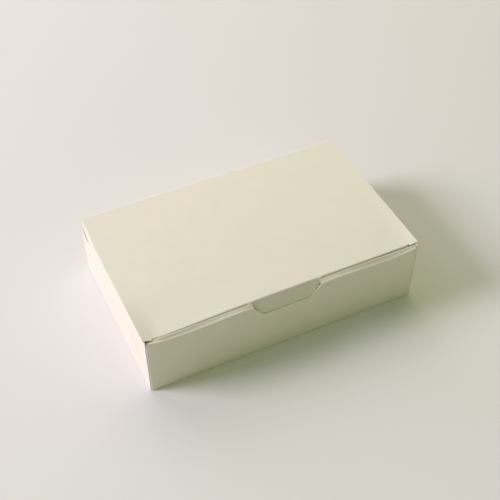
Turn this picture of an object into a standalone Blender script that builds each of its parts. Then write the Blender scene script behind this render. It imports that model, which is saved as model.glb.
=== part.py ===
"""A one-piece folding box of paperboard, folded up and closed.

The box is one die-cut sheet. Each panel between two creases is an object of its own, drawn flat
from its crease and turned up about it, and hangs on the panel that it is folded from. The front
wall rolls over a flat rim into an inner wall, whose feet stand in slots in the base. The lid
hangs on the back wall, and its tuck flap goes down inside the front.

Metres, +Z up. X runs along the front, -Y is the front, and the origin is under the middle of
the base. In a wall's own frame X runs along the wall, Y up it and Z out of the box.
"""

from math import cos, pi, radians, sin

import bmesh
import bpy
from mathutils import Vector

MM = 0.001

# Outside of the closed box
LENGTH = 160 * MM
WIDTH = 101 * MM
HEIGHT = 40 * MM

# Board and folds
BOARD = 0.5 * MM
GAP = 0.3 * MM
CREASE_SETBACK = 0.55 * MM
CORNER_RADIUS = 0.8 * MM
ARC_STEPS = 6
OVERRUN = 1 * MM

# Rolled front: a flat rim between the outer and the inner wall
RIM_DROP = 2 * MM
RIM_WIDTH = 2.4 * MM
RIM_RADIUS = 0.7 * MM
RIM_LEG = 1.2 * MM
FOOT_WIDTH = 18 * MM
FOOT_SPACING = 84 * MM
FOOT_TIP_HEIGHT = 0.1 * MM
FOOT_RADIUS = 0.2 * MM

# Thumb notch through the rolled front
NOTCH_TOP_WIDTH = 41 * MM
NOTCH_BOTTOM_WIDTH = 27 * MM
NOTCH_DEPTH = 8 * MM
NOTCH_SHOULDER_RADIUS = 5 * MM
NOTCH_CORNER_RADIUS = 2.5 * MM

# Side walls, outside the corner flaps
SIDE_END_GAP = 0.3 * MM
RELIEF_LENGTH = 21.5 * MM
RELIEF_DEPTH = 11 * MM
RELIEF_END_DEPTH = 5.5 * MM
RELIEF_LOW_SHARE = 0.4
RELIEF_RADIUS = 4 * MM
RELIEF_TOP_RADIUS = 1.5 * MM
SLIT_FROM_FRONT = 19.5 * MM
SLIT_TOP_HEIGHT = 28 * MM
SLIT_BOTTOM_HEIGHT = 16 * MM
SLIT_SWAY = 3.2 * MM
SLIT_STEPS = 8

# Corner flaps, inside the side walls
FLAP_LENGTH = 26 * MM
FLAP_TOP_GAP = 0.6 * MM
FLAP_END_DROP = 1.5 * MM
FLAP_END_RADIUS = 5 * MM

# Lid and tuck flap
LID_SETBACK = 2.7 * MM
EAR_WIDTH = 3.8 * MM
EAR_RADIUS = 0.6 * MM
TUCK_HEIGHT = 15 * MM
TUCK_TAPER = 2.5 * MM
TUCK_END_RADIUS = 6 * MM
TUCK_AXIS_GAP = 0.15 * MM
TUCK_LEAN = radians(5)

QUARTER_TURN = pi / 2

# Places that follow from the sizes above
MID = BOARD / 2
AXIS_X = LENGTH / 2 - MID
AXIS_Y = WIDTH / 2 - MID
FRONT_HEIGHT = HEIGHT - RIM_DROP
CORNER_X = LENGTH / 2 - BOARD - GAP
INNER_X = CORNER_X - BOARD - GAP
WALL_TOP = HEIGHT - BOARD - GAP
FLAP_TOP = HEIGHT - BOARD - FLAP_TOP_GAP
FLAP_FOOT = BOARD + GAP


def remove_start_scene():
    for obj in list(bpy.data.objects):
        bpy.data.objects.remove(obj)


def board_material(name, colour, roughness):
    material = bpy.data.materials.new(name)
    material.use_nodes = True
    shader = material.node_tree.nodes["Principled BSDF"]
    shader.inputs["Base Color"].default_value = (*colour, 1)
    shader.inputs["Roughness"].default_value = roughness
    shader.inputs["Metallic"].default_value = 0
    return material


def rounded(points, radii):
    """The outline through these points, with an arc of each point's radius in its corner."""
    outline = []
    count = len(points)
    for i, radius in enumerate(radii):
        corner = Vector(points[i])
        if not radius:
            outline.append(corner)
            continue
        back = (Vector(points[i - 1]) - corner).normalized()
        ahead = (Vector(points[(i + 1) % count]) - corner).normalized()
        half_angle = back.angle(ahead) / 2
        start = corner + back * radius / (sin(half_angle) / cos(half_angle))
        centre = corner + (back + ahead).normalized() * radius / sin(half_angle)
        spoke = start - centre
        turn = pi - 2 * half_angle
        if back.cross(ahead) > 0:
            turn = -turn
        for step in range(ARC_STEPS + 1):
            angle = turn * step / ARC_STEPS
            across = Vector((-spoke.y, spoke.x))
            outline.append(centre + spoke * cos(angle) + across * sin(angle))
    return outline


def prism(name, outline, low, high, along="Z", material=None):
    """A closed body with this outline, from low to high along one axis of the object."""
    place = {
        "X": lambda a, b, c: (c, a, b),
        "Y": lambda a, b, c: (a, c, b),
        "Z": lambda a, b, c: (a, b, c),
    }[along]
    sheet = bmesh.new()
    ring = [sheet.verts.new(place(a, b, low)) for a, b in outline]
    face = sheet.faces.new(ring)
    grown = bmesh.ops.extrude_face_region(sheet, geom=[face])["geom"]
    shift = Vector(place(0, 0, high - low))
    tops = [v for v in grown if isinstance(v, bmesh.types.BMVert)]
    bmesh.ops.translate(sheet, verts=tops, vec=shift)
    bmesh.ops.recalc_face_normals(sheet, faces=sheet.faces)
    mesh = bpy.data.meshes.new(name)
    sheet.to_mesh(mesh)
    sheet.free()
    obj = bpy.data.objects.new(name, mesh)
    bpy.context.scene.collection.objects.link(obj)
    if material:
        mesh.materials.append(material)
    return obj


def panel(name, outline, material):
    """A flat panel of board with its middle in the plane of its crease."""
    return prism(name, outline, -MID, MID, material=material)


def channel(half_width, leg, radius):
    """The section of a strip of board with both edges bent down, its outside at the top."""
    inside = half_width - BOARD
    points = [
        (-half_width, -leg),
        (-half_width, 0),
        (half_width, 0),
        (half_width, -leg),
        (inside, -leg),
        (inside, -BOARD),
        (-inside, -BOARD),
        (-inside, -leg),
    ]
    inner = radius - BOARD
    return rounded(points, [0, radius, radius, 0, 0, inner, inner, 0])


def hang(obj, parent, place, turn=(0, 0, 0)):
    """Puts an object's origin, which is on its crease, at a place in its parent's frame."""
    obj.parent = parent
    obj.location = place
    obj.rotation_euler = turn


def cut(obj, cutter, operation="DIFFERENCE"):
    cutter.hide_render = True
    cutter.display_type = "WIRE"
    step = obj.modifiers.new(cutter.name, "BOOLEAN")
    step.object = cutter
    step.operation = operation
    step.solver = "EXACT"


def box_outline(x0, x1, y0, y1):
    return [(x0, y0), (x1, y0), (x1, y1), (x0, y1)]


def foot_middles():
    return (-FOOT_SPACING / 2, FOOT_SPACING / 2)


def base_panel(material):
    half_x = AXIS_X - CREASE_SETBACK
    half_y = AXIS_Y - CREASE_SETBACK
    base = panel("base_panel", box_outline(-half_x, half_x, -half_y, half_y), material)
    base.location = (0, 0, MID)
    rear = -WIDTH / 2 + RIM_WIDTH
    for i, middle in enumerate(foot_middles()):
        half = FOOT_WIDTH / 2 + GAP
        outline = box_outline(middle - half, middle + half, rear - BOARD - GAP, rear + GAP)
        slot = prism(f"foot_slot_cutter_{i}", outline, -OVERRUN, OVERRUN)
        hang(slot, base, (0, 0, 0))
        cut(base, slot)
    return base


def wall_frame(name, base, x, y, turn):
    """An empty on a base crease, with X along the wall, Y up it and Z out of the box."""
    frame = bpy.data.objects.new(name, None)
    bpy.context.scene.collection.objects.link(frame)
    hang(frame, base, (x, y, 0), (QUARTER_TURN, 0, turn))
    return frame


def cornered_wall(name, top, material):
    """A wall whose ends are bent round the box's upright corners."""
    section = [(a, b + MID) for a, b in channel(CORNER_X, CORNER_RADIUS, CORNER_RADIUS)]
    return prism(name, section, CREASE_SETBACK, top - MID, along="Y", material=material)


def corner_flap(name, side, material):
    """A flap past a wall's bent end, side -1 or 1 along the wall, lying inside a side wall."""
    foot = FLAP_FOOT - MID
    top = FLAP_TOP - MID
    points = [
        (0, foot),
        (FLAP_LENGTH, foot),
        (FLAP_LENGTH, top - FLAP_END_DROP),
        (0, top),
    ]
    outline = rounded(points, [0, FLAP_END_RADIUS, FLAP_END_RADIUS, 0])
    flap = panel(name, [(side * a, b) for a, b in outline], material)
    return flap


def hang_corner_flap(flap, wall, side):
    start = MID - CORNER_RADIUS - GAP
    hang(flap, wall, (side * (CORNER_X - MID), 0, start), (0, side * QUARTER_TURN, 0))


def slit_curve(margin, trim):
    """The lock slit as a closed band along an S, measured back from the front and up."""
    middle = []
    low = SLIT_BOTTOM_HEIGHT + trim
    high = SLIT_TOP_HEIGHT - trim
    for step in range(SLIT_STEPS + 1):
        share = step / SLIT_STEPS
        sway = SLIT_SWAY * -cos(pi * share)
        middle.append((SLIT_FROM_FRONT + sway, low + (high - low) * share))
    half = MID + margin
    left = [(a - half, b) for a, b in middle]
    right = [(a + half, b) for a, b in middle]
    return left + right[::-1]


def lock_slit_cutter(name, side):
    """Cuts a side wall for the lock tongue; side is the end of the wall that is at the front."""
    outline = []
    for back, height in slit_curve(GAP, 0):
        outline.append((side * (WIDTH / 2 - back), height - MID))
    return prism(name, outline, -OVERRUN, OVERRUN)


def lock_tongue(name, side):
    """The tongue on a front corner flap, which stands in the slit of its side wall."""
    outline = []
    start = CORNER_RADIUS + GAP
    for back, height in slit_curve(0, GAP):
        outline.append((side * (back - start), height - MID))
    return prism(name, outline, 0, MID + GAP + BOARD)


def side_wall(name, front_end, material):
    """A side wall with a relief at its rear top corner and a lock slit near its front end."""
    half = WIDTH / 2 - SIDE_END_GAP
    top = WALL_TOP - MID
    rear = -front_end * half
    inward = front_end
    points = [
        (-rear, CREASE_SETBACK),
        (-rear, top),
        (rear + inward * RELIEF_LENGTH, top),
        (rear + inward * RELIEF_LENGTH * RELIEF_LOW_SHARE, top - RELIEF_DEPTH),
        (rear, top - RELIEF_END_DEPTH),
        (rear, CREASE_SETBACK),
    ]
    wall = panel(name, rounded(points, [0, 0, RELIEF_TOP_RADIUS, RELIEF_RADIUS, 0, 0]), material)
    slit = lock_slit_cutter(name + "_slit_cutter", front_end)
    hang(slit, wall, (0, 0, 0))
    cut(wall, slit)
    return wall


def notch_cutter():
    """The thumb notch, cut through both front walls and the rim at once."""
    shoulder = FRONT_HEIGHT + GAP - MID
    floor = FRONT_HEIGHT - NOTCH_DEPTH - MID
    half_top = NOTCH_TOP_WIDTH / 2
    half_floor = NOTCH_BOTTOM_WIDTH / 2
    far = half_top + NOTCH_SHOULDER_RADIUS
    points = [
        (-far, shoulder),
        (-half_top, shoulder),
        (-half_floor, floor),
        (half_floor, floor),
        (half_top, shoulder),
        (far, shoulder),
        (far, shoulder + OVERRUN),
        (-far, shoulder + OVERRUN),
    ]
    arcs = [NOTCH_SHOULDER_RADIUS, NOTCH_CORNER_RADIUS, NOTCH_CORNER_RADIUS, NOTCH_SHOULDER_RADIUS]
    return prism("notch_cutter", rounded(points, [0, *arcs, 0, 0, 0]), -RIM_WIDTH - OVERRUN, OVERRUN)


def rolled_front(frame, materials):
    """The outer wall, the two halves of the rim and the inner wall with its feet."""
    notch = notch_cutter()
    hang(notch, frame, (0, 0, 0))
    leg_top = FRONT_HEIGHT - RIM_LEG - GAP

    outer = cornered_wall("front_outer_wall", leg_top, materials["wall"])
    hang(outer, frame, (0, 0, 0))
    cut(outer, notch)

    end = CORNER_X - CORNER_RADIUS
    section = channel(RIM_WIDTH / 2, RIM_LEG, RIM_RADIUS)
    middle = MID - RIM_WIDTH / 2
    rim_outline = [(b + FRONT_HEIGHT - MID, a + middle) for a, b in section]
    for name, near, far in (("front_rim_left", -end, 0), ("front_rim_right", 0, end)):
        rim = prism(name, rim_outline, near, far, along="X", material=materials["rim"])
        hang(rim, frame, (0, 0, 0))
        cut(rim, notch)

    foot_top = BOARD + GAP - MID
    foot_tip = FOOT_TIP_HEIGHT - MID
    points = [(INNER_X, leg_top - MID), (-INNER_X, leg_top - MID), (-INNER_X, foot_top)]
    radii = [0, 0, 0]
    for foot in foot_middles():
        left = foot - FOOT_WIDTH / 2
        right = foot + FOOT_WIDTH / 2
        points += [(left, foot_top), (left, foot_tip), (right, foot_tip), (right, foot_top)]
        radii += [0, FOOT_RADIUS, FOOT_RADIUS, 0]
    points.append((INNER_X, foot_top))
    radii.append(0)
    inner = panel("front_inner_wall", rounded(points, radii), materials["inner"])
    hang(inner, frame, (0, 0, BOARD - RIM_WIDTH))
    cut(inner, notch)

    for name, side in (("front_left_corner_flap", -1), ("front_right_corner_flap", 1)):
        flap = corner_flap(name, side, materials["inner"])
        hang_corner_flap(flap, frame, side)
        tongue = lock_tongue(name + "_tongue", side)
        hang(tongue, flap, (0, 0, 0))
        cut(flap, tongue, operation="UNION")


def back_wall(frame, materials):
    wall = cornered_wall("back_wall", WALL_TOP, materials["wall"])
    hang(wall, frame, (0, 0, 0))
    for name, side in (("back_right_corner_flap", -1), ("back_left_corner_flap", 1)):
        hang_corner_flap(corner_flap(name, side, materials["inner"]), wall, side)
    return wall


def lid_panel(wall, material):
    """The lid from its rear crease to the tuck crease, with an ear at each front corner."""
    front = AXIS_Y + WIDTH / 2 - LID_SETBACK
    tip = front + LID_SETBACK
    half = LENGTH / 2
    ear = half - EAR_WIDTH
    points = [
        (-half, CREASE_SETBACK),
        (half, CREASE_SETBACK),
        (half, tip),
        (ear, tip),
        (ear, front),
        (-ear, front),
        (-ear, tip),
        (-half, tip),
    ]
    outline = rounded(points, [0, 0, EAR_RADIUS, EAR_RADIUS, 0, 0, EAR_RADIUS, EAR_RADIUS])
    lid = panel("lid_panel", outline, material)
    hang(lid, wall, (0, HEIGHT - BOARD, 0), (-QUARTER_TURN, 0, 0))
    return lid


def tuck_flap(lid, material):
    """The flap that goes down inside the front, hinged on its inside and leaning in a little."""
    root = LENGTH / 2 - EAR_WIDTH
    tip = root - TUCK_TAPER
    points = [
        (-root, TUCK_AXIS_GAP),
        (root, TUCK_AXIS_GAP),
        (tip, TUCK_HEIGHT),
        (-tip, TUCK_HEIGHT),
    ]
    outline = rounded(points, [0, 0, TUCK_END_RADIUS, TUCK_END_RADIUS])
    flap = prism("tuck_flap", outline, TUCK_AXIS_GAP, TUCK_AXIS_GAP + BOARD, material=material)
    crease = AXIS_Y + WIDTH / 2 - LID_SETBACK - BOARD - TUCK_AXIS_GAP
    hang(flap, lid, (0, crease, -MID - TUCK_AXIS_GAP), (-QUARTER_TURN - TUCK_LEAN, 0, 0))
    return flap


def build():
    remove_start_scene()
    materials = {
        "lid": board_material("lid_board", (0.80, 0.74, 0.62), 0.62),
        "wall": board_material("wall_board", (0.78, 0.72, 0.60), 0.62),
        "inner": board_material("inner_board", (0.72, 0.66, 0.53), 0.75),
        "rim": board_material("rim_board", (0.76, 0.70, 0.56), 0.65),
    }
    base = base_panel(materials["inner"])
    front = wall_frame("front_crease", base, 0, -AXIS_Y, 0)
    right = wall_frame("right_crease", base, AXIS_X, 0, QUARTER_TURN)
    back = wall_frame("back_crease", base, 0, AXIS_Y, 2 * QUARTER_TURN)
    left = wall_frame("left_crease", base, -AXIS_X, 0, 3 * QUARTER_TURN)
    rolled_front(front, materials)
    hang(side_wall("right_wall", -1, materials["wall"]), right, (0, 0, 0))
    hang(side_wall("left_wall", 1, materials["wall"]), left, (0, 0, 0))
    lid = lid_panel(back_wall(back, materials), materials["lid"])
    tuck_flap(lid, materials["lid"])


build()
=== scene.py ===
"""A folding box of white coated paperboard, closed, on a pale studio floor.

The box is one die-cut sheet. Each piece here is drawn flat, as it lies in that sheet, and ruled
with fine lines. Each of its points is then carried along the path of the folds, and the board
gets its thickness last, so that every fold and every cut edge is that of real board.

Metres, +Z up. A board's own frame is that of the front: X runs along the wall and -Y is out of
the box. The other three walls are the same, turned about the box's middle.
"""

from math import cos, pi, radians, sin

import bmesh
import bpy
from mathutils import Matrix, Vector, noise


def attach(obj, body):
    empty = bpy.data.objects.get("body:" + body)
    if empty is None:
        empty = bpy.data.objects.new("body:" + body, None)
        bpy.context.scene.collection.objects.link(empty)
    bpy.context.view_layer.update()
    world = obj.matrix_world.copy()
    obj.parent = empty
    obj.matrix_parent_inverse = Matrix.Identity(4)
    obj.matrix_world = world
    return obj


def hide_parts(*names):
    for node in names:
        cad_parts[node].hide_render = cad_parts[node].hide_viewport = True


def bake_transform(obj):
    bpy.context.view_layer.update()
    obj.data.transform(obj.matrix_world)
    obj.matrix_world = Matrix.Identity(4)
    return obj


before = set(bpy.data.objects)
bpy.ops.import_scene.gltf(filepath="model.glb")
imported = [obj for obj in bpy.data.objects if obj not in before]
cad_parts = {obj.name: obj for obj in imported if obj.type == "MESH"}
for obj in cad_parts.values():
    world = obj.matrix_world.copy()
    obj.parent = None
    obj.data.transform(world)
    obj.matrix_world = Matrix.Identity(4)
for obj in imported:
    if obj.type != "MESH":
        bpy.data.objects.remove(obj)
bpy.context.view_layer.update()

MM = 0.001
QUARTER_TURN = pi / 2

# Outside of the closed box
LENGTH = 160 * MM
WIDTH = 101 * MM
HEIGHT = 40 * MM

# Board and its folds
BOARD = 0.5 * MM
MID = BOARD / 2
FOLD_RADIUS = 0.28 * MM
FOLD_LENGTH = FOLD_RADIUS * QUARTER_TURN
FOLD = (FOLD_RADIUS, -QUARTER_TURN)
FOLD_STEPS = 8
FOLD_SHOULDER = 0.35 * MM
ARC_STEPS = 8

# How finely a board is ruled, and how near two places count as one
RULING = 4 * MM
FINE_COLUMNS = 60
FINE_ROWS = 14
MERGE = 0.001 * MM
SHARP_ANGLE = radians(40)

# The length of board that one unit of its flat layout stands for
BLANK_UNIT = 0.1

# The order of the finishes on a board
COATED_SIDE, UNCOATED_SIDE, CUT_SIDE = range(3)

# Where a wall's board ends under the base, and how its height becomes a length along the board
SEAM = 1.2 * MM
RISE = SEAM - FOLD_RADIUS + FOLD_LENGTH - MID - FOLD_RADIUS

# Middle planes of the walls
SIDE_PLANE = LENGTH / 2 - MID
END_PLANE = WIDTH / 2 - MID

# Upright corners, where the front and the back run round into their corner flaps
CORNER_GAP = 0.05 * MM
CORNER_OUTSIDE = LENGTH / 2 - BOARD - CORNER_GAP
CORNER_RADIUS = 0.3 * MM
CORNER_START = CORNER_OUTSIDE - MID - CORNER_RADIUS
CORNER_LENGTH = CORNER_RADIUS * QUARTER_TURN
FLAP_START = CORNER_START + CORNER_LENGTH
FLAP_LENGTH = 26.3 * MM
FLAP_FOOT = 0.8 * MM
FLAP_TOP = 39.2 * MM
FLAP_DROP = 0.5 * MM
FLAP_LAP = 0.05 * MM
FLAP_RADIUS = 5 * MM

# Rolled front: outer wall, flat rim, and inner wall with its feet in the base
FRONT_TOP = 38 * MM
RIM_WIDTH = 2.4 * MM
RIM_RUN = RIM_WIDTH - BOARD - 2 * FOLD_RADIUS
CORNER_TOP = 37.4 * MM
CORNER_FOOT = 0.9 * MM
FOOT_WIDTH = 18 * MM
FOOT_SPACING = 84 * MM
FOOT_TIP = 0.1 * MM
SLOT_MARGIN = 0.3 * MM

# Thumb notch; in the inner wall it is wider and deeper, so that the flap has room to fan out
NOTCH_EDGE = 20.4 * MM
LEFT_NOTCH_EDGE = 19.5 * MM
NOTCH_BRINK = 37.9 * MM
NOTCH_END = 14 * MM
NOTCH_FLOOR = 30 * MM
INNER_NOTCH_END = 16 * MM
INNER_NOTCH_FLOOR = 28.6 * MM
NOTCH_RADIUS = 2.5 * MM

# Lid: its rear crease is on the back wall, and it widens from there to the front
REAR_SEAM = HEIGHT - MID - FOLD_RADIUS - FOLD_SHOULDER
REAR_MARGIN = 0.1 * MM
LID_MARGIN = 0.6 * MM
LID_TAPER = 40 * MM
LID_CORNER_RADIUS = 0.4 * MM
CREASE_SETBACK = 2.75 * MM
LID_CREASE = WIDTH / 2 - CREASE_SETBACK
LID_RUN = END_PLANE - FOLD_RADIUS + LID_CREASE - MID - FOLD_RADIUS
EAR_WIDTH = 4.4 * MM
EAR_SETBACK = 2.1 * MM
EAR_RADIUS = 0.5 * MM
EAR_ROOT_RADIUS = 0.1 * MM

# Tuck flap, and the part of it behind the notch that is ruled finely
TUCK_TURN = radians(95)
TUCK_LEAN = TUCK_TURN - QUARTER_TURN
TUCK_HEIGHT = 15 * MM
TUCK_TAPER = 2.5 * MM
TUCK_RADIUS = 6 * MM
TUCK_MARGIN = 0.2 * MM
FINE_SIDE = 23 * MM
FINE_START = 6 * MM
FINE_END = 13 * MM

# Side walls, each with a relief in its rear top corner
SIDE_TOP = 39.4 * MM
SIDE_END = WIDTH / 2 - BOARD
SIDE_RADIUS = 0.5 * MM
RELIEF_LENGTH = 21.5 * MM
RELIEF_FOOT = 8.6 * MM
RELIEF_DEPTH = 11 * MM
RELIEF_END_DEPTH = 5.7 * MM
RELIEF_TOP_RADIUS = 2 * MM
RELIEF_RADIUS = 5 * MM

# Curved lock slit near the front of a side wall, and the tongue that stands in it
SLIT_FROM_FRONT = 19.5 * MM
SLIT_SWAY = 3.2 * MM
SLIT_FOOT = 16 * MM
SLIT_HEIGHT = 12 * MM
SLIT_STEPS = 12
SLIT_MARGIN = 0.18 * MM
TONGUE_INSET = 0.05 * MM


def evenly(start, end, count):
    """Places from start to end, both of them included."""
    return [start + (end - start) * step / count for step in range(count + 1)]


def rounded(points, radii):
    """The outline through these points, with an arc of each point's radius in its corner."""
    outline = []
    count = len(points)
    for i, radius in enumerate(radii):
        corner = Vector(points[i])
        if not radius:
            outline.append(corner)
            continue
        back = (Vector(points[i - 1]) - corner).normalized()
        ahead = (Vector(points[(i + 1) % count]) - corner).normalized()
        half_angle = back.angle(ahead) / 2
        start = corner + back * radius / (sin(half_angle) / cos(half_angle))
        centre = corner + (back + ahead).normalized() * radius / sin(half_angle)
        spoke = start - centre
        turn = pi - 2 * half_angle
        if back.cross(ahead) > 0:
            turn = -turn
        across = Vector((-spoke.y, spoke.x))
        for angle in evenly(0, turn, ARC_STEPS):
            outline.append(centre + spoke * cos(angle) + across * sin(angle))
    return outline


def mirrored(half):
    """A whole outline from its right half, which runs from the middle out and back again."""
    return half + [(-x, s) for x, s in reversed(half)]


def fold_path(start, heading, legs):
    """The middle of a folded board seen from its side, as legs of (length, 0) or (radius, turn).

    Gives a function from the length along the board to the place there, and the lengths at
    which its folds begin and end."""
    runs = []
    folds = []
    a, b = start
    s = 0
    for size, turn in legs:
        length = size * abs(turn) if turn else size
        runs.append((s, length, a, b, heading, size, turn))
        if turn:
            folds.append((s, s + length))
        a, b = leg_place(runs[-1], length)
        heading += turn
        s += length

    def place(at):
        for run in runs:
            if at <= run[0] + run[1]:
                break
        return leg_place(run, at - run[0])

    return place, folds


def leg_place(run, along):
    """The place some way along one leg of a path."""
    _, _, a, b, heading, size, turn = run
    if not turn:
        return a + cos(heading) * along, b + sin(heading) * along
    side = 1 if turn > 0 else -1
    ahead = heading + side * along / size
    a += size * side * (sin(ahead) - sin(heading))
    b -= size * side * (cos(ahead) - cos(heading))
    return a, b


def ruling(low, high, folds):
    """Lines across a board: fine ones round each fold, and evenly spaced ones between."""
    lines = []
    for start, end in folds:
        lines += evenly(start, end, FOLD_STEPS)
        lines += [start - FOLD_SHOULDER, end + FOLD_SHOULDER]
    stops = sorted([low, high, *lines])
    for start, end in zip(stops, stops[1:]):
        lines += evenly(start, end, int((end - start) / RULING) + 1)[1:-1]
    return [line for line in lines if low < line < high]


def flat_board(outline, holes, x_lines, s_lines):
    """The board as it lies in the blank, ruled so that it can be folded along its lines."""
    sheet = bmesh.new()
    for ring in [outline, *holes]:
        corners = [sheet.verts.new((x, s, 0)) for x, s in ring]
        for i, corner in enumerate(corners):
            sheet.edges.new((corners[i - 1], corner))
    bmesh.ops.triangle_fill(sheet, use_beauty=True, edges=sheet.edges, normal=(0, 0, 1))
    for axis, lines in (((1, 0, 0), x_lines), ((0, 1, 0), s_lines)):
        for line in lines:
            whole = sheet.verts[:] + sheet.edges[:] + sheet.faces[:]
            point = Vector(axis) * line
            bmesh.ops.bisect_plane(sheet, geom=whole, dist=MERGE, plane_co=point, plane_no=axis)
    bmesh.ops.remove_doubles(sheet, verts=sheet.verts, dist=MERGE)
    slanting = []
    for edge in sheet.edges:
        run = edge.verts[0].co - edge.verts[1].co
        if not edge.is_boundary and abs(run.x) > MERGE and abs(run.y) > MERGE:
            slanting.append(edge)
    bmesh.ops.dissolve_edges(sheet, edges=slanting, use_verts=False)
    turned = [face for face in sheet.faces if face.normal.z < 0]
    bmesh.ops.reverse_faces(sheet, faces=turned)
    return sheet


def within(value, spans):
    """1 inside one of the spans, and 0 outside them all."""
    return float(any(start - MERGE <= value <= end + MERGE for start, end in spans))


def add_second_side(sheet):
    """Adds the board's other side and its cut edges, each with its finish and its place."""
    blank = sheet.loops.layers.uv.new("blank")
    # The second side is 1 m behind the first until the folding puts both in their places
    behind = bmesh.ops.extrude_face_region(sheet, geom=sheet.faces[:])["geom"]
    for item in behind:
        if isinstance(item, bmesh.types.BMVert):
            item.co.z = -1
    for face in sheet.faces:
        depths = {round(vert.co.z) for vert in face.verts}
        face.material_index = COATED_SIDE if depths == {0} else UNCOATED_SIDE
        if len(depths) > 1:
            face.material_index = CUT_SIDE
        for loop in face.loops:
            loop[blank].uv = loop.vert.co.xy / BLANK_UNIT


def folded_board(name, outline, holes, path, turn, bow, corners=None, fine=False):
    """One piece of the box: its flat outline, folded along its path, bowed and given thickness.

    The path comes from fold_path, and turn is how far the wall is turned about the box's middle.
    Corners is the way round the upright corners, on a board that runs round them. A fine board
    is also ruled with close lines behind the notch."""
    place, folds = path
    bends = []
    if corners:
        bends = [(CORNER_START, FLAP_START), (-FLAP_START, -CORNER_START)]
    turned = Matrix.Rotation(turn, 3, "Z")

    def carried(x, s):
        out, up = place(s)
        if corners:
            along, inward = corners(abs(x))
            x = along if x > 0 else -along
            out += inward
        point = turned @ Vector((x, out, up))
        return point + bow(point)

    xs = [x for x, s in outline]
    ss = [s for x, s in outline]
    x_lines = ruling(min(xs), max(xs), bends)
    s_lines = ruling(min(ss), max(ss), folds)
    if fine:
        x_lines += evenly(-FINE_SIDE, FINE_SIDE, FINE_COLUMNS)
        s_lines += evenly(FINE_START, FINE_END, FINE_ROWS)
    sheet = flat_board(outline, holes, x_lines, s_lines)
    add_second_side(sheet)
    crease = sheet.verts.layers.float.new("crease")
    for vert in sheet.verts:
        x, s, depth = vert.co
        vert[crease] = max(within(s, folds), within(x, bends))
        point = carried(x, s)
        across = carried(x + MERGE, s) - carried(x - MERGE, s)
        ahead = carried(x, s + MERGE) - carried(x, s - MERGE)
        normal = across.cross(ahead).normalized()
        vert.co = point + normal * (-MID if round(depth) else MID)
    bmesh.ops.recalc_face_normals(sheet, faces=sheet.faces)
    return piece(name, sheet, BOARD_FINISH)


def new_object(name, data):
    """A mesh, a lamp or a camera as an object in the scene."""
    obj = bpy.data.objects.new(name, data)
    bpy.context.scene.collection.objects.link(obj)
    return obj


def piece(name, sheet, finish):
    """A visible piece from its finished sheet, smooth but for its cut edges."""
    mesh = bpy.data.meshes.new(name)
    sheet.to_mesh(mesh)
    sheet.free()
    for material in finish:
        mesh.materials.append(material)
    mesh.shade_smooth()
    mesh.set_sharp_from_angle(angle=SHARP_ANGLE)
    return new_object(name, mesh)


# How far board 0.5 mm thick gives from its flat. A start, an end or a run that is not in MM is
# a share of the way along the board. The higher a power, the closer to the end of its way the
# board gives.

# Slow waves in a board that has been folded and handled
WAVE = 0.1 * MM
WAVE_LENGTH = 45 * MM
LID_SEED = 1.5
FRONT_SEED = 4.5
SIDE_SEED = 7.5
LID_WAVE_START = 10 * MM

# Lid, up and down: bowed up in the middle and pulled down in front, most at its left end
LID_CROWN = 0.5 * MM
LID_SAG = 1 * MM
LID_DROOP = 1.5 * MM
DROOP_LENGTH = 67 * MM
DROOP_DEPTH = 34 * MM
EDGE_HOLD = 7 * MM
EDGE_HOLD_SHARE = 0.75
EDGE_HOLD_START = 0.45
EDGE_HOLD_FULL = 0.75
RIGHT_RISE = 0.4 * MM
RIGHT_RISE_LENGTH = 48 * MM
RIGHT_RISE_FULL = 0.45
RIGHT_RISE_END = 0.75

# Lid, to the right
RIGHT_SPREAD = 1.15 * MM
LEFT_SHIFT = 0.6 * MM
LEFT_SHIFT_END = 0.35

# Front: it leans out, and its inner wall is nipped against the outer one
FRONT_BULGE = 0.5 * MM
BULGE_POWER = 4
LEAN_TOP = 0.9 * FRONT_TOP
INNER_NIP = 1.3 * MM
NIP_DEPTH = 3.5 * MM
FOOT_RISE = 20 * MM
FRONT_POWER = 3

# Rim: pressed down between the notch and its two ends, and standing up at those. An inner share
# is how much of a give of the outer crease the inner crease has.
NOTCH_PRESS = 0.5 * MM
LEFT_PRESS = 1.15 * MM
RIGHT_PRESS = 0.85 * MM
PRESS_START = 0.3
PRESS_RUN = 0.46
LEFT_INNER_SHARE = 0.5
RIGHT_INNER_SHARE = 0.1
RIGHT_INNER_RISE = 0.15 * MM
INNER_RISE_RUN = 0.2
LEFT_END_START = 0.82
LEFT_END_RISE = 2.6 * MM
LEFT_END_TILT = 1.1
RIGHT_END_START = 0.72
RIGHT_END_RISE = 2.2 * MM
RIGHT_END_TILT = 0.8 * MM
RIM_SLOPE = 1 * MM
RIM_REACH = 0.5 * MM
RIM_REACH_LENGTH = 2 * MM
RIM_REACH_HEIGHT = 0.3 * MM

# Rim beside the notch
NOTCH_TWIST = 1.3 * MM
TWIST_START = 17 * MM
TWIST_LENGTH = 9 * MM
TWIST_POWER = 4

# Tuck flap: it springs out against the inner wall, and fans out in the notch
TUCK_SPRING = 2.5 * MM
SPRING_DEPTH = 10.5 * MM
FAN_REACH = 2.28 * MM
FAN_SLANT = 1.07  # height of the notch's slanting edges for each length
FAN_FADE = 2.5 * MM

# Right front corner: its top stands out
CORNER_STAND = 0.8 * MM
STAND_START = 50 * MM
STAND_LENGTH = 28 * MM
STAND_DEPTH = 30 * MM

# Side walls and back; up to the height of the base zone they are held by their creases
BASE_ZONE = 1.5 * MM
TOP_POWER = 4
END_POWER = 6
SIDE_BULGE = 0.25 * MM
BULGE_TURN = 0.6 * pi
SIDE_LEAN = 0.25 * MM
RIGHT_LEAN = 0.25 * MM
REAR_FLAP_SHARE = 0.5
BACK_BULGE = 0.4 * MM


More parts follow.
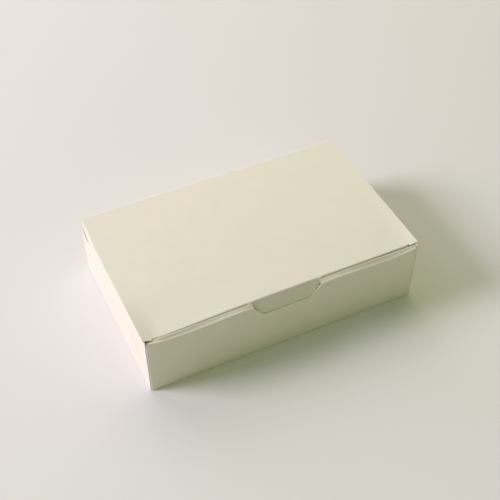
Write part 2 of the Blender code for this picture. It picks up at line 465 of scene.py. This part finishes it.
def share(value):
    """The value, kept between 0 and 1."""
    return min(max(value, 0), 1)


def ease(value):
    """A smooth step from 0 to 1."""
    t = share(value)
    return t * t * (3 - 2 * t)


def wave(point, seed):
    """The slow unevenness of a board that has been folded and handled."""
    return WAVE * noise.noise(point / WAVE_LENGTH + Vector((seed, seed, seed)))


def lid_ahead(y):
    """How far forward a place on the lid is, from 0 at the back to 1 at the front."""
    return share((END_PLANE - y) / (2 * END_PLANE))


def lid_lift(x, y):
    """How far the closed lid stands off its level.

    It is bowed up in the middle. The tuck flap pulls its front down, most at the left, but the
    side walls hold up its two ends."""
    ahead = lid_ahead(y)
    left = x + LENGTH / 2 + LID_MARGIN
    right = LENGTH / 2 + LID_MARGIN - x
    crown = LID_CROWN * sin(pi * share(left / LENGTH)) * sin(pi * ahead)
    rise = RIGHT_RISE * ease(1 - right / RIGHT_RISE_LENGTH) * ease(ahead / RIGHT_RISE_FULL)
    sag = LID_SAG * ahead**2
    sag += rise * ease((ahead - RIGHT_RISE_END) / (1 - RIGHT_RISE_END))
    front = ease(1 - (y + END_PLANE) / DROOP_DEPTH)
    sag += LID_DROOP * (1 - ease(left / DROOP_LENGTH)) * front
    edge = 1 - ease(min(left, right) / EDGE_HOLD)
    forward = ease((ahead - EDGE_HOLD_START) / (EDGE_HOLD_FULL - EDGE_HOLD_START))
    return crown + rise - sag * (1 - EDGE_HOLD_SHARE * edge * forward)


def lid_spread(x, y):
    """How far the lid lies to the right: its right edge all along, its left one at the rear."""
    ahead = lid_ahead(y)
    right = RIGHT_SPREAD * max(x, 0) * sin(min(pi * ahead, QUARTER_TURN))
    left = LEFT_SHIFT * max(-x, 0) * (1 - ease(ahead / LEFT_SHIFT_END))
    return (right + left) / (LENGTH / 2)


def lid_bow(point):
    """Where a place on the lid goes. At its rear crease it stays on the back wall."""
    settled = wave(point, LID_SEED) * ease((END_PLANE - point.y) / LID_WAVE_START)
    lift = lid_lift(point.x, point.y)
    return Vector((lid_spread(point.x, point.y), 0, lift + settled))


def tuck_bow(point):
    """The flap follows the lid's front crease, and springs out against the inner front wall."""
    crease = Vector((point.x, -LID_CREASE, HEIGHT - MID))
    depth = HEIGHT - MID - point.z
    spring = (TUCK_SPRING + front_lean(point.x)) * share(depth / SPRING_DEPTH)
    settled = lid_bow(crease)
    fan = notch_fan(point.x, depth, HEIGHT - MID + settled.z)
    return settled + Vector((0, -max(spring, fan), 0))


def notch_fan(x, depth, level):
    """How far out the flap stands in the notch, where it fans up to the slanting cut edges.

    It reaches out that far at the depth of those edges, and goes back in below and beside."""
    beside = min(max(abs(x) - NOTCH_END, 0), NOTCH_EDGE + BOARD - NOTCH_END)
    meet = level - NOTCH_FLOOR - FAN_SLANT * beside + MID
    reach = FAN_REACH + front_lean(x) + depth * sin(TUCK_LEAN)
    hidden = ease((abs(x) - NOTCH_EDGE) / FAN_FADE)
    below = ease((depth - meet) / FAN_FADE)
    return reach * share(depth / meet) * (1 - hidden) * (1 - below)


def still(point):
    """The base lies flat on the floor."""
    return Vector((0, 0, 0))


def front_lean(x):
    """How far out the top of the front leans: most in the middle of its length."""
    return FRONT_BULGE * (1 - (2 * x / LENGTH) ** BULGE_POWER)


def rim_press(x, depth):
    """How far the rolled rim is pressed down: depth is 0 at its outer crease and 1 at its inner.

    It slopes down to the front, and is lowest between the notch and its two ends. At the left
    end only its outer crease stands up, and at the right end all of it."""
    reach = abs(2 * x / LENGTH)
    inner = depth**2
    if x < 0:
        end = (max(reach - LEFT_END_START, 0) / (1 - LEFT_END_START)) ** 2
        press = LEFT_PRESS * (1 - (1 - LEFT_INNER_SHARE) * inner)
        rise = LEFT_END_RISE * (1 - LEFT_END_TILT * depth) * end
    else:
        end = (max(reach - RIGHT_END_START, 0) / (1 - RIGHT_END_START)) ** 2
        press = RIGHT_PRESS * (1 - (1 - RIGHT_INNER_SHARE * end) * inner)
        rise = (RIGHT_END_RISE - RIGHT_END_TILT * inner) * end
        lifted = ease((reach - PRESS_START) / INNER_RISE_RUN) * (1 - end)
        rise += RIGHT_INNER_RISE * inner * lifted
    press *= ease((reach - PRESS_START) / PRESS_RUN)
    return NOTCH_PRESS + press - rise - RIM_SLOPE * inner


def notch_twist(x, depth):
    """Beside the notch the outer crease is soft, and the rim rolls down to the cut edge."""
    return NOTCH_TWIST * (1 - ease((abs(x) - TWIST_START) / TWIST_LENGTH)) * (1 - depth)


def corner_stand(point):
    """How far the top of the right front corner stands out to the front."""
    across = ease((point.x - STAND_START) / STAND_LENGTH)
    ahead = 1 - ease((point.y + END_PLANE) / STAND_DEPTH)
    return -CORNER_STAND * across * ahead * ease(point.z / HEIGHT)


def side_give(point):
    """How far a side wall stands from its plane, and the corner flap behind it too."""
    if point.z < BASE_ZONE:
        return Vector((0, 0, 0))
    side = 1 if point.x > 0 else -1
    height = ease(point.z / HEIGHT)
    along = 1 - (2 * point.y / WIDTH) ** 2
    out = SIDE_BULGE * along * sin(BULGE_TURN * min(point.z / HEIGHT, 1)) + SIDE_LEAN * height
    if side > 0:
        out += RIGHT_LEAN * height * ease(1 / 2 - point.y / WIDTH)
    out += wave(point, SIDE_SEED) * height
    drop = min(lid_lift(point.x, point.y), 0) * (point.z / HEIGHT) ** TOP_POWER
    return Vector((side * out, corner_stand(point), drop))


def end_give(point):
    """The front and the back reach out to the side walls that lean away from their ends."""
    return side_give(point).x * min(abs(point.x) / CORNER_START, 1) ** END_POWER


def front_bow(point):
    """The front leans out, and its inner wall is nipped against the outer one below the rim."""
    high = (point.z / FRONT_TOP) ** FRONT_POWER
    shift = end_give(point)
    stand = corner_stand(point)
    if abs(point.x) > CORNER_START:
        turned = ease((point.y + END_PLANE) / CORNER_RADIUS)
        drop = -rim_press(point.x, 0) * high * (1 - turned) + side_give(point).z * turned
        return Vector((shift, stand, drop))
    depth = share((point.y + END_PLANE) / (RIM_RUN + 2 * FOLD_RADIUS))
    drop = rim_press(point.x, depth) * high
    drop += notch_twist(point.x, depth) * high**TWIST_POWER
    out = front_lean(point.x) * ease(point.z / LEAN_TOP) - wave(point, FRONT_SEED) * high
    nip = (INNER_NIP + out) * ease(point.z / FOOT_RISE) * ease((FRONT_TOP - point.z) / NIP_DEPTH)
    if point.x > 0:
        end = ease((point.x - CORNER_START) / RIM_REACH_LENGTH + 1)
        shift += RIM_REACH * end * ease((point.z - CORNER_TOP) / RIM_REACH_HEIGHT)
    return Vector((shift, stand - out * (1 - depth) - nip * depth, -drop))


def back_bow(point):
    """The back bulges out, and its corner flaps lean half as far as the side walls do."""
    give = side_give(point)
    if abs(point.x) > CORNER_START:
        return Vector((give.x * REAR_FLAP_SHARE, 0, give.z))
    along = 1 - (2 * point.x / LENGTH) ** 2
    shift = end_give(point) * REAR_FLAP_SHARE
    return Vector((shift, BACK_BULGE * along * sin(pi * point.z / HEIGHT), 0))


# Materials

# Board: clouds where its fibres lie thicker or thinner, and crazing along its creases, painted
# paler so that it is partly a painted highlight along them. Fibres are 0.03 mm wide and 1 to 3 mm
# long, but drawn 0.25 mm wide and 1.8 mm long so that they show.
CLOUD = 9 * MM
FIBRE = 0.25 * MM
ALONG_FIBRES = (0.14, 1, 1)
CRAZING = 0.6 * MM
WEAR_DEPTH = 0.04 * MM
PULP = 0.35 * MM
PULP_DEPTH = 0.05 * MM
BOARD_IOR = 1.5

# Background paper: its clouds are a third of a metre wide
PAPER_CLOUD = 1000 / 3 * MM


def linear(colour):
    """An sRGB hex colour as the linear one that a shader takes."""
    parts = [int(colour[i : i + 2], 16) / 255 for i in (1, 3, 5)]
    return (*[p / 12.92 if p <= 0.04045 else ((p + 0.055) / 1.055) ** 2.4 for p in parts], 1)


def add_node(tree, kind, inputs, **settings):
    """One node with its settings, and its inputs from plain values or other nodes' outputs."""
    made = tree.nodes.new("ShaderNode" + kind)
    for name, value in settings.items():
        setattr(made, name, value)
    for name, value in inputs.items():
        if isinstance(value, bpy.types.NodeSocket):
            tree.links.new(value, made.inputs[name])
        else:
            made.inputs[name].default_value = value
    return made


def new_material(name):
    """A material with its nodes, and the shader that they lead to."""
    material = bpy.data.materials.new(name)
    material.use_nodes = True
    return material, material.node_tree, material.node_tree.nodes["Principled BSDF"]


def board_surface(name, pale, deep, worn_and_highlight, roughness, fibre_depth):
    """One side of folding boxboard: cloudy from its fibres, a little worn along the creases, and
    painted paler there as a highlight. Its colour lies between pale and deep, and is mixed with
    worn_and_highlight on the creases, which is partly crazed coating and partly a painted
    highlight."""
    material, tree, shader = new_material(name)
    cloud_scale, fibre_scale = BLANK_UNIT / CLOUD, BLANK_UNIT / FIBRE
    crazing_scale = BLANK_UNIT / CRAZING
    blank = add_node(tree, "UVMap", {}, uv_map="blank").outputs["UV"]
    grain = add_node(tree, "Mapping", {"Vector": blank, "Scale": ALONG_FIBRES}).outputs["Vector"]
    cloud = add_node(
        tree, "TexNoise", {"Vector": blank, "Scale": cloud_scale, "Detail": 3, "Roughness": 0.6}
    ).outputs["Fac"]
    fibre = add_node(
        tree, "TexNoise", {"Vector": grain, "Scale": fibre_scale, "Detail": 4, "Roughness": 0.7}
    ).outputs["Fac"]
    mixed = add_node(tree, "Math", {0: cloud, 1: fibre}, operation="ADD").outputs[0]
    tone = add_node(
        tree, "MapRange", {"Value": mixed, "From Min": 0.75, "From Max": 1.25}
    ).outputs["Result"]
    colour = add_node(
        tree, "Mix", {0: tone, 6: linear(deep), 7: linear(pale)}, data_type="RGBA"
    ).outputs[2]
    # Along a crease the coating is stretched and crazed, and shows paler; this paler colour also
    # stands in for the highlight along the crease, so it is partly a painted highlight
    crease = add_node(tree, "Attribute", {}, attribute_name="crease").outputs["Fac"]
    crazing = add_node(
        tree, "TexNoise", {"Vector": blank, "Scale": crazing_scale, "Detail": 5, "Roughness": 0.75}
    ).outputs["Fac"]
    crazed_crease_and_highlight = add_node(tree, "Math", {0: crease, 1: crazing}, operation="MULTIPLY").outputs[0]
    colour = add_node(
        tree, "Mix", {0: crazed_crease_and_highlight, 6: colour, 7: linear(worn_and_highlight)}, data_type="RGBA"
    ).outputs[2]
    # Its paler patches are a little duller
    duller = {"To Min": roughness - 0.05, "To Max": roughness + 0.06}
    rough = add_node(
        tree, "MapRange", {"Value": mixed, "From Min": 0.7, "From Max": 1.3, **duller}
    ).outputs["Result"]
    relief = add_node(
        tree, "Bump", {"Height": fibre, "Distance": fibre_depth, "Strength": 0.6}
    ).outputs["Normal"]
    relief = add_node(
        tree, "Bump", {"Height": crazed_crease_and_highlight, "Distance": WEAR_DEPTH, "Strength": 0.5, "Normal": relief}
    ).outputs["Normal"]
    tree.links.new(colour, shader.inputs["Base Color"])
    tree.links.new(rough, shader.inputs["Roughness"])
    tree.links.new(relief, shader.inputs["Normal"])
    shader.inputs["IOR"].default_value = BOARD_IOR
    shader.inputs["Specular IOR Level"].default_value = 0.4
    return material


def cut_edge_board(name, pale, deep):
    """The die-cut edge of boxboard: raw pulp in plies, paler than the faces and quite rough."""
    material, tree, shader = new_material(name)
    place = add_node(tree, "TexCoord", {}).outputs["Object"]
    pulp = add_node(
        tree, "TexNoise", {"Vector": place, "Scale": 1 / PULP, "Detail": 4, "Roughness": 0.7}
    ).outputs["Fac"]
    colour = add_node(
        tree, "Mix", {0: pulp, 6: linear(deep), 7: linear(pale)}, data_type="RGBA"
    ).outputs[2]
    relief = add_node(
        tree, "Bump", {"Height": pulp, "Distance": PULP_DEPTH, "Strength": 0.6}
    ).outputs["Normal"]
    tree.links.new(colour, shader.inputs["Base Color"])
    tree.links.new(relief, shader.inputs["Normal"])
    shader.inputs["Roughness"].default_value = 0.85
    shader.inputs["IOR"].default_value = BOARD_IOR
    return material


def studio_paper(name, pale, deep):
    """Matt background paper, seamless, with a faint unevenness from its rolling."""
    material, tree, shader = new_material(name)
    place = add_node(tree, "TexCoord", {}).outputs["Object"]
    cloud = add_node(
        tree, "TexNoise", {"Vector": place, "Scale": 1 / PAPER_CLOUD, "Detail": 2}
    ).outputs["Fac"]
    colour = add_node(
        tree, "Mix", {0: cloud, 6: linear(deep), 7: linear(pale)}, data_type="RGBA"
    ).outputs[2]
    tree.links.new(colour, shader.inputs["Base Color"])
    shader.inputs["Roughness"].default_value = 0.9
    shader.inputs["Specular IOR Level"].default_value = 0.1
    return material


# Coated side: matt clay coating, so an even ivory white with a soft sheen and hardly any fibre;
# its third colour, on the creases, is paler crazed coating and a painted highlight in one
COATED = board_surface(
    "coated_boxboard", "#ECE4D5", "#E9E0D0", "#F3EDE0", roughness=0.6, fibre_depth=0.006 * MM
)
# Uncoated side: bare pulp, so greyer and yellower, dull, and its fibres show; its crease colour is
# likewise partly crazing and partly a painted highlight
UNCOATED = board_surface(
    "uncoated_boxboard", "#E1D8C4", "#D9CEB8", "#E6DDCB", roughness=0.8, fibre_depth=0.02 * MM
)
CUT_EDGE = cut_edge_board("cut_boxboard_edge", "#F0E9DA", "#E0D6C2")
BOARD_FINISH = (COATED, UNCOATED, CUT_EDGE)


# Boards of the box, each as it lies in the blank

def corner_plan():
    """The way round an upright corner, seen from above, from the middle of a wall outwards."""
    place, _ = fold_path(
        (0, 0), 0, [(CORNER_START, 0), (CORNER_RADIUS, QUARTER_TURN), (FLAP_LENGTH, 0)]
    )
    return place


def flap_outline(top):
    """The right half of a wall's outline, from its foot round the corner flap to its top."""
    end = FLAP_START + FLAP_LENGTH
    inner = FLAP_START + FLAP_LAP
    points = [
        (CORNER_START, RISE + CORNER_FOOT),
        (inner, RISE + CORNER_FOOT),
        (inner, RISE + FLAP_FOOT),
        (end, RISE + FLAP_FOOT),
        (end, RISE + FLAP_TOP - FLAP_DROP),
        (inner, RISE + FLAP_TOP),
        (inner, RISE + top),
        (CORNER_START, RISE + top),
    ]
    return rounded(points, [0, 0, 0, FLAP_RADIUS, FLAP_RADIUS, 0, 0, 0])


def wall_path(plane, legs):
    """From the seam under the base, round its crease and up a wall."""
    return fold_path((SEAM - plane, MID), pi, [(SEAM - FOLD_RADIUS, 0), FOLD, *legs])


def front_board():
    """Outer wall, flat rim and inner wall in one, with the thumb notch through all three."""
    up = FRONT_TOP - 2 * FOLD_RADIUS - BOARD
    path = wall_path(END_PLANE, [(up, 0), FOLD, (RIM_RUN, 0), FOLD, (HEIGHT, 0)])
    top = FRONT_TOP - MID - FOLD_RADIUS
    # The length along the board at which the inner wall would reach the floor
    down = RISE + top + FOLD_LENGTH + RIM_RUN + FOLD_LENGTH + top
    foot = down - BOARD - SLOT_MARGIN
    tip = down - FOOT_TIP
    near = FOOT_SPACING / 2 - FOOT_WIDTH / 2
    far = FOOT_SPACING / 2 + FOOT_WIDTH / 2
    half = [(CORNER_START, 0), *flap_outline(CORNER_TOP), (CORNER_START, foot)]
    half += [(far, foot), (far, tip), (near, tip), (near, foot)]
    ring = [
        (NOTCH_END, RISE + NOTCH_FLOOR),
        (NOTCH_EDGE, RISE + NOTCH_BRINK),
        (NOTCH_EDGE, down - NOTCH_BRINK),
        (INNER_NOTCH_END, down - INNER_NOTCH_FLOOR),
        (-INNER_NOTCH_END, down - INNER_NOTCH_FLOOR),
        (-LEFT_NOTCH_EDGE, down - NOTCH_BRINK),
        (-LEFT_NOTCH_EDGE, RISE + NOTCH_BRINK),
        (-NOTCH_END, RISE + NOTCH_FLOOR),
    ]
    soft = NOTCH_RADIUS
    notch = rounded(ring, [soft, 0, 0, soft, soft, 0, 0, soft])
    outline = mirrored(half)
    return folded_board("front_board", outline, [notch], path, 0, front_bow, corner_plan())


def slit_ring(side, margin):
    """The curved lock slit of a side wall, as a closed ring round its middle line."""
    middle = []
    for up in evenly(0, 1, SLIT_STEPS):
        back = SLIT_FROM_FRONT - SLIT_SWAY * cos(pi * up)
        middle.append((back, SLIT_FOOT + SLIT_HEIGHT * up))
    ring = [(a - margin, z) for a, z in middle] + [(a + margin, z) for a, z in reversed(middle)]
    return [(side * (WIDTH / 2 - a), RISE + z) for a, z in ring]


def side_board(name, side, turn):
    """A side wall with its base crease; side is 1 or -1, for the end that is at the front."""
    low = side * -(END_PLANE - SEAM)
    end = side * SIDE_END
    top = RISE + SIDE_TOP
    points = [
        (low, 0),
        (-low, 0),
        (-low, RISE + CORNER_FOOT),
        (end, RISE + CORNER_FOOT),
        (end, top),
        (side * (RELIEF_LENGTH - SIDE_END), top),
        (side * (RELIEF_FOOT - SIDE_END), top - RELIEF_DEPTH),
        (-end, top - RELIEF_END_DEPTH),
        (-end, RISE + CORNER_FOOT),
        (low, RISE + CORNER_FOOT),
    ]
    radii = [0, 0, 0, 0, SIDE_RADIUS, RELIEF_TOP_RADIUS, RELIEF_RADIUS, 0, 0, 0]
    path = wall_path(SIDE_PLANE, [(HEIGHT, 0)])
    slit = slit_ring(side, MID + SLIT_MARGIN)
    return folded_board(name, rounded(points, radii), [slit], path, turn, side_give)


def back_board():
    """The back wall between its two creases, running round into the rear corner flaps."""
    half = [(0, RISE + CORNER_FOOT), *flap_outline(REAR_SEAM), (0, RISE + REAR_SEAM)]
    path = wall_path(END_PLANE, [(HEIGHT, 0)])
    outline = half + [(-x, s) for x, s in reversed(half) if x]
    return folded_board("back_board", outline, [], path, pi, back_bow, corner_plan())


def base_board():
    """The base, with slots for the feet of the front, and the crease up to the back wall."""
    reach = 2 * END_PLANE - SEAM - FOLD_RADIUS
    path = fold_path((END_PLANE - SEAM, MID), pi, [(reach, 0), FOLD, (HEIGHT, 0)])
    side = SIDE_PLANE - SEAM
    rear = 2 * END_PLANE - 2 * SEAM
    top = reach + FOLD_LENGTH + CORNER_FOOT - MID - FOLD_RADIUS
    half = [(side, 0), (side, rear), (CORNER_START, rear), (CORNER_START, top)]
    slots = []
    inner_wall = END_PLANE - SEAM - (WIDTH / 2 - RIM_WIDTH)
    low = inner_wall - SLOT_MARGIN
    high = inner_wall + BOARD + SLOT_MARGIN
    for middle in (-FOOT_SPACING / 2, FOOT_SPACING / 2):
        left = middle - FOOT_WIDTH / 2 - SLOT_MARGIN
        right = middle + FOOT_WIDTH / 2 + SLOT_MARGIN
        slots.append([(left, low), (right, low), (right, high), (left, high)])
    return folded_board("base_board", mirrored(half), slots, path, pi, still)


def lid_board():
    """The lid with its rear crease, up to the crease of the tuck flap, and its two ears."""
    legs = [(FOLD_SHOULDER, 0), FOLD, (WIDTH, 0)]
    path = fold_path((-END_PLANE, REAR_SEAM), QUARTER_TURN, legs)
    flat = FOLD_SHOULDER + FOLD_LENGTH
    crease = flat + LID_RUN
    tip = flat + END_PLANE - FOLD_RADIUS + WIDTH / 2 - EAR_SETBACK
    side = LENGTH / 2 + LID_MARGIN
    ear = LENGTH / 2 - EAR_WIDTH
    points = [
        (0, 0),
        (CORNER_START, 0),
        (CORNER_START, flat),
        (LENGTH / 2 + REAR_MARGIN, flat),
        (side, flat + LID_TAPER),
        (side, tip),
        (ear, tip),
        (ear, crease),
        (0, crease),
    ]
    half = rounded(points, [0, 0, 0, LID_CORNER_RADIUS, 0, EAR_RADIUS, EAR_ROOT_RADIUS, 0, 0])
    # The places on the middle line only guide the arc beside them
    outline = mirrored(half[1:-1])
    return folded_board("lid_board", outline, [], path, pi, lid_bow)


def tuck_board():
    """The tuck flap from the lid's front crease down, with round lower corners."""
    start = (FOLD_RADIUS - END_PLANE + LID_RUN, HEIGHT - MID)
    path = fold_path(start, 0, [(FOLD_RADIUS, -TUCK_TURN), (TUCK_HEIGHT, 0)])
    root = LENGTH / 2 - EAR_WIDTH - TUCK_MARGIN
    tip = root - TUCK_TAPER
    flat = FOLD_RADIUS * TUCK_TURN
    end = flat + TUCK_HEIGHT
    points = [(-root, 0), (root, 0), (root, flat), (tip, end), (-tip, end), (-root, flat)]
    outline = rounded(points, [0, 0, 0, TUCK_RADIUS, TUCK_RADIUS, 0])
    return folded_board("tuck_board", outline, [], path, pi, tuck_bow, fine=True)


def lock_tongue(name, side):
    """The tongue of a front corner flap, bent out so that it stands in the side wall's slit."""
    ring = slit_ring(1, MID)
    inside = side * (CORNER_OUTSIDE - BOARD)
    outside = side * (LENGTH / 2 - TONGUE_INSET)
    sheet = bmesh.new()
    lower = [sheet.verts.new((inside, -y, s - RISE)) for y, s in ring]
    upper = [sheet.verts.new((outside, -y, s - RISE)) for y, s in ring]
    count = len(ring)
    for i in range(count):
        sheet.faces.new((lower[i - 1], lower[i], upper[i], upper[i - 1]))
    for i in range(count // 2 - 1):
        for row in (lower, upper):
            sheet.faces.new((row[i], row[i + 1], row[count - 2 - i], row[count - 1 - i]))
    for vert in sheet.verts:
        vert.co += side_give(vert.co)
    bmesh.ops.recalc_face_normals(sheet, faces=sheet.faces)
    return piece(name, sheet, [CUT_EDGE])


def crossing(obj, middle):
    """Bakes a board's place into its mesh. Its middle, a point of the crease, is not used."""
    middle = Vector(middle)
    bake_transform(obj)


def build_box():
    """All the pieces, each hiding the parts that it is drawn for; the front, the back and the
    tongues each with its body.
    """
    front = front_board()
    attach(front, "tray")
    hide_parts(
        "front_outer_wall",
        "front_rim_left",
        "front_rim_right",
        "front_inner_wall",
        "front_left_corner_flap",
        "front_right_corner_flap",
    )

    base = base_board()
    crossing(base, (0, END_PLANE, MID))
    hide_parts("base_panel")

    left = side_board("left_board", 1, -QUARTER_TURN)
    crossing(left, (-SIDE_PLANE, 0, MID))
    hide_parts("left_wall")

    right = side_board("right_board", -1, QUARTER_TURN)
    crossing(right, (SIDE_PLANE, 0, MID))
    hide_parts("right_wall")

    back = back_board()
    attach(back, "back")
    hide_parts("back_wall", "back_left_corner_flap", "back_right_corner_flap")

    lid = lid_board()
    crossing(lid, (0, END_PLANE, HEIGHT - MID))
    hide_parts("lid_panel")

    tuck = tuck_board()
    crossing(tuck, (0, -LID_CREASE + MID, HEIGHT - MID))
    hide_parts("tuck_flap")

    for name, side in (("left_lock_tongue", -1), ("right_lock_tongue", 1)):
        tongue = lock_tongue(name, side)
        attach(tongue, "tray")


# Studio: the floor reaches far behind the box, and the lamps stand round it

FLOOR_SIZE = 60
FLOOR_SQUARES = 8
LAMP_DISTANCE = 2.6

# Camera, as found from the corners of the box in the picture
CAMERA_PLACE = (-0.16652, -0.36019, 0.42720)
CAMERA_HEADING = radians(-25.108)
CAMERA_TILT = radians(44.638)
CAMERA_ROLL = radians(-0.561)
CAMERA_LENS = 71.54
SENSOR_WIDTH = 36
NEAR_CLIP = 0.01
FAR_CLIP = 50


def studio_floor():
    """A wide floor of paper, so that no edge of it comes into the picture."""
    mesh = bpy.data.meshes.new("studio_floor")
    sheet = bmesh.new()
    squares = FLOOR_SQUARES
    bmesh.ops.create_grid(sheet, x_segments=squares, y_segments=squares, size=FLOOR_SIZE / 2)
    sheet.to_mesh(mesh)
    sheet.free()
    mesh.materials.append(studio_paper("studio_paper", "#E9E4E2", "#E4DFDC"))
    floor = new_object("studio_floor", mesh)


def soft_lamp(name, heading, height, side, power, colour):
    """A square soft box that points at the middle of the floor.

    Heading and height are in degrees, the side is in metres and the power in watts."""
    heading, height = radians(heading), radians(height)
    level = Vector((cos(heading), sin(heading), 0)) * cos(height)
    data = bpy.data.lights.new(name, "AREA")
    data.size = side
    data.energy = power
    data.color = linear(colour)[:3]
    lamp = new_object(name, data)
    lamp.location = (level + Vector((0, 0, sin(height)))) * LAMP_DISTANCE
    lamp.rotation_euler = (-lamp.location).to_track_quat("-Z", "Y").to_euler()


def soft_room(colour, strength):
    """Even light from all round, and a pale background where the floor ends."""
    world = bpy.data.worlds.new("soft_room")
    bpy.context.scene.world = world
    world.use_nodes = True
    background = world.node_tree.nodes["Background"]
    background.inputs["Color"].default_value = linear(colour)
    background.inputs["Strength"].default_value = strength


def photo_camera():
    """The camera that sees the box as the picture shows it."""
    data = bpy.data.cameras.new("photo_camera")
    data.lens = CAMERA_LENS
    data.sensor_width = SENSOR_WIDTH
    data.clip_start = NEAR_CLIP
    data.clip_end = FAR_CLIP
    camera = new_object("photo_camera", data)
    turn = Matrix.Rotation(CAMERA_HEADING, 4, "Z") @ Matrix.Rotation(CAMERA_TILT, 4, "X")
    turn = turn @ Matrix.Rotation(CAMERA_ROLL, 4, "Z")
    camera.matrix_world = Matrix.Translation(CAMERA_PLACE) @ turn
    bpy.context.scene.camera = camera


build_box()
studio_floor()
soft_lamp("key_soft_box", heading=160, height=31, side=1, power=62.5, colour="#EFEBFF")
soft_lamp("back_soft_box", heading=100, height=25, side=2, power=28, colour="#F2D8FF")
soft_lamp("fill_soft_box", heading=60, height=40, side=2, power=12.5, colour="#FFFAB4")
soft_room("#EBFFD0", strength=0.333)
photo_camera()
bpy.context.scene.view_settings.view_transform = "Standard"
